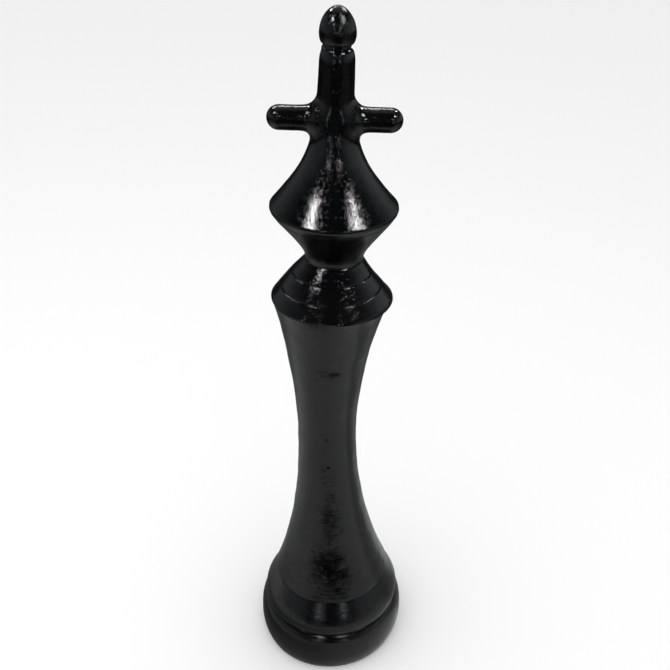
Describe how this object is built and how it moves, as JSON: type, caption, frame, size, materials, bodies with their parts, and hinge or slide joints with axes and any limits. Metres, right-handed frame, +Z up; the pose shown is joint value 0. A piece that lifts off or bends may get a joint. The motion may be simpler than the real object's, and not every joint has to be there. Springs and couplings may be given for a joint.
{
  "type": "giant chess king",
  "caption": "Waist-high garden chess king: turned plinth and bead, waisted column, stepped collar and a lift-off bell-shaped head with a cross.",
  "frame": {"origin": "on the floor under the middle of the base", "axes": "+Z up along the turned axis, +X along the cross's right arm, -Y is the front"},
  "size_m": [0.278, 0.278, 1.2],
  "materials": {
    "black_gloss_paint": "thick gloss paint over hand-finished laminate, slightly lumpy",
    "raw_glass_fibre": "unpainted glass-fibre laminate",
    "plywood": "unpainted",
    "black_rubber": "matt",
    "zinc_plated_steel": "zinc plated",
    "cast_concrete": "as cast",
    "grey_plastic": "extruded tube"
  },
  "bodies": {
    "body": {"plinth_shell": "black_gloss_paint", "bead_ring": "black_gloss_paint", "column_front": "black_gloss_paint", "column_rear": "black_gloss_paint", "collar_shell": "black_gloss_paint", "seam_strip_left": "raw_glass_fibre", "seam_strip_right": "raw_glass_fibre", "base_board": "plywood", "base_ring": "plywood", "foot_disc": "plywood", "collar_bulkhead": "plywood", "base_pad": "black_rubber", "tie_rod": "zinc_plated_steel", "tie_nut_lower": "zinc_plated_steel", "tie_nut_upper": "zinc_plated_steel", "tie_washer_lower": "zinc_plated_steel", "tie_washer_upper": "zinc_plated_steel", "base_screw_1": "zinc_plated_steel", "base_screw_2": "zinc_plated_steel", "base_screw_3": "zinc_plated_steel", "base_screw_4": "zinc_plated_steel", "base_screw_5": "zinc_plated_steel", "base_screw_6": "zinc_plated_steel", "ballast_disc": "cast_concrete", "socket_tube": "grey_plastic"},
    "head": {"neck_cone": "black_gloss_paint", "bell_shell": "black_gloss_paint", "head_bulkhead": "plywood", "head_spigot": "grey_plastic", "index_pin": "zinc_plated_steel", "crown_block": "plywood", "cross_upright": "black_gloss_paint", "cross_arm_left": "black_gloss_paint", "cross_arm_right": "black_gloss_paint", "arm_pin": "zinc_plated_steel", "finial_knob": "black_gloss_paint", "finial_stud": "zinc_plated_steel"},
    "bung": {"drain_bung": "grey_plastic", "bung_seal": "black_rubber"}
  },
  "joints": [
    {"name": "head_lift", "type": "slide", "parent": "body", "child": "head", "axis": [0, 0, 1], "range_m": [0, 0.12]},
    {"name": "bung_out", "type": "slide", "parent": "body", "child": "bung", "axis": [0, 0, -1], "range_m": [0, 0.025]}
  ]
}
